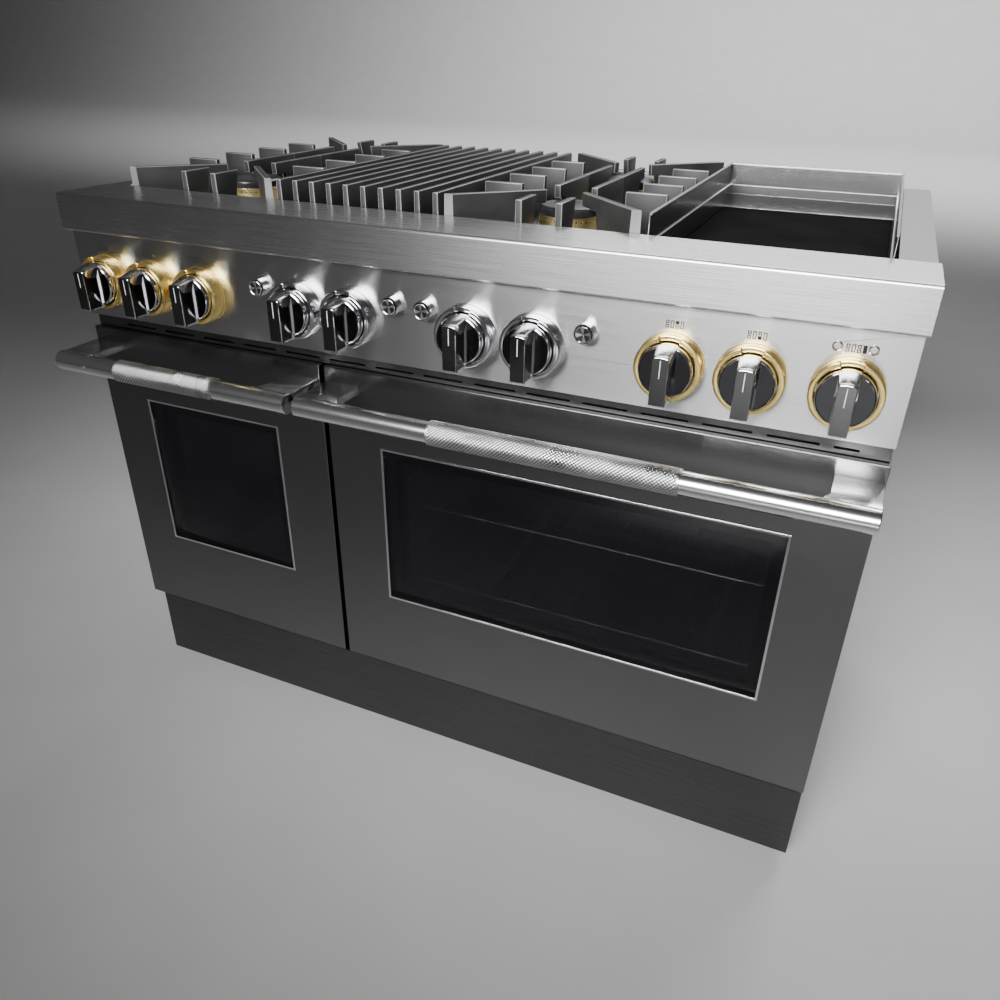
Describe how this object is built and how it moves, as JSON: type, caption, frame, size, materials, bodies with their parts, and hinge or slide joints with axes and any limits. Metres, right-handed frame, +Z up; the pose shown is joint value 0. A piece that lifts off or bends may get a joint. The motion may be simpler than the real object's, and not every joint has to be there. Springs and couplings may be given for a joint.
{
  "type": "freestanding gas range",
  "caption": "Wide freestanding gas range with two ovens, cast-iron burner grates, a grill, a griddle, turning knobs, push buttons and drop-down doors.",
  "frame": {"origin": "on the floor, under the middle of the whole box", "axes": "+X to the right seen from the front, +Y to the rear, +Z up"},
  "size_m": [1.216, 0.78, 0.942],
  "materials": {
    "brushed_steel": "horizontally brushed stainless steel",
    "polished_steel": "polished stainless steel, almost mirror bright",
    "chrome": "bright chrome plate",
    "brass": "satin brass",
    "dark_glass": "dark tinted tempered glass",
    "cast_iron": "matt enamelled cast iron",
    "griddle_iron": "smooth seasoned plate",
    "cap_enamel": "satin black enamel",
    "casing_steel": "satin grey coated steel sheet",
    "galvanised_steel": "galvanised steel",
    "dark_steel": "dark brushed steel",
    "oven_enamel": "dark glossy porcelain enamel",
    "gasket_fibre": "woven glass fibre rope",
    "rack_chrome": "plated wire",
    "pipe_black": "black steel pipe",
    "valve_alloy": "die-cast alloy"
  },
  "bodies": {
    "range_body": {"side_panels": "casing_steel", "back_panel": "casing_steel", "chassis_frame": "galvanised_steel", "kick_panel": "brushed_steel", "levelling_feet": "galvanised_steel", "bullnose": "brushed_steel", "control_panel": "brushed_steel", "vent_strip": "dark_steel", "cooktop_deck": "brushed_steel", "burner_heads": "brass", "tube_burners": "casing_steel", "gas_manifold": "pipe_black", "gas_valves": "valve_alloy", "oven_liner_left": "oven_enamel", "oven_liner_right": "oven_enamel", "door_gaskets": "gasket_fibre", "brass_knob_rings": "brass", "chrome_rings": "chrome"},
    "door_left": {"door_left_skin": "brushed_steel", "door_left_trim": "chrome", "door_left_glass": "dark_glass", "door_left_liner": "oven_enamel", "door_left_handle": "polished_steel", "door_left_hinges": "galvanised_steel"},
    "door_right": {"door_right_skin": "brushed_steel", "door_right_trim": "chrome", "door_right_glass": "dark_glass", "door_right_liner": "oven_enamel", "door_right_handle": "polished_steel", "door_right_hinges": "galvanised_steel"},
    "knob_burner_left_rear": {"knob_burner_left_rear": "polished_steel"},
    "knob_burner_left_front": {"knob_burner_left_front": "polished_steel"},
    "knob_grill": {"knob_grill": "polished_steel"},
    "knob_burner_right_rear": {"knob_burner_right_rear": "polished_steel"},
    "knob_burner_right_front": {"knob_burner_right_front": "polished_steel"},
    "knob_griddle": {"knob_griddle": "polished_steel"},
    "knob_left_oven_mode": {"knob_left_oven_mode": "polished_steel"},
    "knob_left_oven_heat": {"knob_left_oven_heat": "polished_steel"},
    "knob_right_oven_mode": {"knob_right_oven_mode": "polished_steel"},
    "knob_right_oven_heat": {"knob_right_oven_heat": "polished_steel"},
    "button_left_outer": {"button_left_outer": "polished_steel"},
    "button_left_inner": {"button_left_inner": "polished_steel"},
    "button_right_inner": {"button_right_inner": "polished_steel"},
    "button_right_outer": {"button_right_outer": "polished_steel"},
    "grate_left_front": {"grate_left_front": "cast_iron"},
    "grate_left_rear": {"grate_left_rear": "cast_iron"},
    "grate_right_front": {"grate_right_front": "cast_iron"},
    "grate_right_rear": {"grate_right_rear": "cast_iron"},
    "grill_grate": {"grill_grate": "cast_iron"},
    "griddle": {"griddle_plate": "griddle_iron", "griddle_guard": "brushed_steel"},
    "cap_left_front": {"cap_left_front": "cap_enamel"},
    "cap_left_rear": {"cap_left_rear": "cap_enamel"},
    "cap_right_front": {"cap_right_front": "cap_enamel"},
    "cap_right_rear": {"cap_right_rear": "cap_enamel"},
    "left_oven_rack": {"left_oven_rack": "rack_chrome"},
    "right_oven_lower_rack": {"right_oven_lower_rack": "rack_chrome"},
    "right_oven_upper_rack": {"right_oven_upper_rack": "rack_chrome"},
    "convection_fan_left": {"convection_fan_left": "casing_steel"},
    "convection_fan_right": {"convection_fan_right": "casing_steel"}
  },
  "joints": [
    {"name": "door_left_hinge", "type": "hinge", "parent": "range_body", "child": "door_left", "pos_m": [-0.3865, -0.27, 0.196], "axis": [1, 0, 0], "range_deg": [0, 90], "stiffness_Nm_per_rad": 12, "springref_deg": -28.65},
    {"name": "door_right_hinge", "type": "hinge", "parent": "range_body", "child": "door_right", "pos_m": [0.2225, -0.27, 0.196], "axis": [1, 0, 0], "range_deg": [0, 90], "stiffness_Nm_per_rad": 22, "springref_deg": -28.65},
    {"name": "knob_burner_left_rear_turn", "type": "hinge", "parent": "range_body", "child": "knob_burner_left_rear", "pos_m": [-0.549, -0.32, 0.786], "axis": [0, -1, 0], "range_deg": [0, 210]},
    {"name": "knob_burner_left_front_turn", "type": "hinge", "parent": "range_body", "child": "knob_burner_left_front", "pos_m": [-0.459, -0.32, 0.786], "axis": [0, -1, 0], "range_deg": [0, 210]},
    {"name": "knob_grill_turn", "type": "hinge", "parent": "range_body", "child": "knob_grill", "pos_m": [-0.364, -0.32, 0.786], "axis": [0, -1, 0], "range_deg": [0, 210]},
    {"name": "knob_burner_right_rear_turn", "type": "hinge", "parent": "range_body", "child": "knob_burner_right_rear", "pos_m": [0.342, -0.32, 0.786], "axis": [0, -1, 0], "range_deg": [0, 210]},
    {"name": "knob_burner_right_front_turn", "type": "hinge", "parent": "range_body", "child": "knob_burner_right_front", "pos_m": [0.436, -0.32, 0.786], "axis": [0, -1, 0], "range_deg": [0, 210]},
    {"name": "knob_griddle_turn", "type": "hinge", "parent": "range_body", "child": "knob_griddle", "pos_m": [0.541, -0.32, 0.786], "axis": [0, -1, 0], "range_deg": [0, 210]},
    {"name": "knob_left_oven_mode_turn", "type": "hinge", "parent": "range_body", "child": "knob_left_oven_mode", "pos_m": [-0.193, -0.32, 0.786], "axis": [0, 1, 0], "range_deg": [0, 300]},
    {"name": "knob_left_oven_heat_turn", "type": "hinge", "parent": "range_body", "child": "knob_left_oven_heat", "pos_m": [-0.105, -0.32, 0.786], "axis": [0, 1, 0], "range_deg": [0, 300]},
    {"name": "knob_right_oven_mode_turn", "type": "hinge", "parent": "range_body", "child": "knob_right_oven_mode", "pos_m": [0.074, -0.32, 0.786], "axis": [0, 1, 0], "range_deg": [0, 300]},
    {"name": "knob_right_oven_heat_turn", "type": "hinge", "parent": "range_body", "child": "knob_right_oven_heat", "pos_m": [0.167, -0.32, 0.786], "axis": [0, 1, 0], "range_deg": [0, 300]},
    {"name": "button_left_outer_press", "type": "slide", "parent": "range_body", "child": "button_left_outer", "axis": [0, 1, 0], "range_m": [0, 0.002], "stiffness_N_per_m": 600, "springref_m": -0.001},
    {"name": "button_left_inner_press", "type": "slide", "parent": "range_body", "child": "button_left_inner", "axis": [0, 1, 0], "range_m": [0, 0.002], "stiffness_N_per_m": 600, "springref_m": -0.001},
    {"name": "button_right_inner_press", "type": "slide", "parent": "range_body", "child": "button_right_inner", "axis": [0, 1, 0], "range_m": [0, 0.002], "stiffness_N_per_m": 600, "springref_m": -0.001},
    {"name": "button_right_outer_press", "type": "slide", "parent": "range_body", "child": "button_right_outer", "axis": [0, 1, 0], "range_m": [0, 0.002], "stiffness_N_per_m": 600, "springref_m": -0.001},
    {"name": "grate_left_front_lift", "type": "slide", "parent": "range_body", "child": "grate_left_front", "axis": [0, 0, 1], "range_m": [0, 0.15]},
    {"name": "grate_left_rear_lift", "type": "slide", "parent": "range_body", "child": "grate_left_rear", "axis": [0, 0, 1], "range_m": [0, 0.15]},
    {"name": "grate_right_front_lift", "type": "slide", "parent": "range_body", "child": "grate_right_front", "axis": [0, 0, 1], "range_m": [0, 0.15]},
    {"name": "grate_right_rear_lift", "type": "slide", "parent": "range_body", "child": "grate_right_rear", "axis": [0, 0, 1], "range_m": [0, 0.15]},
    {"name": "grill_grate_lift", "type": "slide", "parent": "range_body", "child": "grill_grate", "axis": [0, 0, 1], "range_m": [0, 0.15]},
    {"name": "griddle_lift", "type": "slide", "parent": "range_body", "child": "griddle", "axis": [0, 0, 1], "range_m": [0, 0.15]},
    {"name": "cap_left_front_lift", "type": "slide", "parent": "range_body", "child": "cap_left_front", "axis": [0, 0, 1], "range_m": [0, 0.075]},
    {"name": "cap_left_rear_lift", "type": "slide", "parent": "range_body", "child": "cap_left_rear", "axis": [0, 0, 1], "range_m": [0, 0.075]},
    {"name": "cap_right_front_lift", "type": "slide", "parent": "range_body", "child": "cap_right_front", "axis": [0, 0, 1], "range_m": [0, 0.075]},
    {"name": "cap_right_rear_lift", "type": "slide", "parent": "range_body", "child": "cap_right_rear", "axis": [0, 0, 1], "range_m": [0, 0.075]},
    {"name": "left_oven_rack_slide", "type": "slide", "parent": "range_body", "child": "left_oven_rack", "axis": [0, -1, 0], "range_m": [0, 0.26]},
    {"name": "right_oven_lower_rack_slide", "type": "slide", "parent": "range_body", "child": "right_oven_lower_rack", "axis": [0, -1, 0], "range_m": [0, 0.26]},
    {"name": "right_oven_upper_rack_slide", "type": "slide", "parent": "range_body", "child": "right_oven_upper_rack", "axis": [0, -1, 0], "range_m": [0, 0.26]},
    {"name": "convection_fan_left_spin", "type": "hinge", "parent": "range_body", "child": "convection_fan_left", "pos_m": [-0.388, 0.3, 0.445], "axis": [0, 1, 0], "continuous": true},
    {"name": "convection_fan_right_spin", "type": "hinge", "parent": "range_body", "child": "convection_fan_right", "pos_m": [0.223, 0.3, 0.445], "axis": [0, 1, 0], "continuous": true}
  ],
  "couplings": [
    {"joint": "cap_left_front_lift", "follows": "grate_left_front_lift", "ratio": 0.5},
    {"joint": "cap_left_rear_lift", "follows": "grate_left_rear_lift", "ratio": 0.5},
    {"joint": "cap_right_front_lift", "follows": "grate_right_front_lift", "ratio": 0.5},
    {"joint": "cap_right_rear_lift", "follows": "grate_right_rear_lift", "ratio": 0.5},
    {"joint": "left_oven_rack_slide", "follows": "door_left_hinge", "m_per_rad": 0.16},
    {"joint": "right_oven_lower_rack_slide", "follows": "door_right_hinge", "m_per_rad": 0.16},
    {"joint": "right_oven_upper_rack_slide", "follows": "door_right_hinge", "m_per_rad": 0.16}
  ]
}
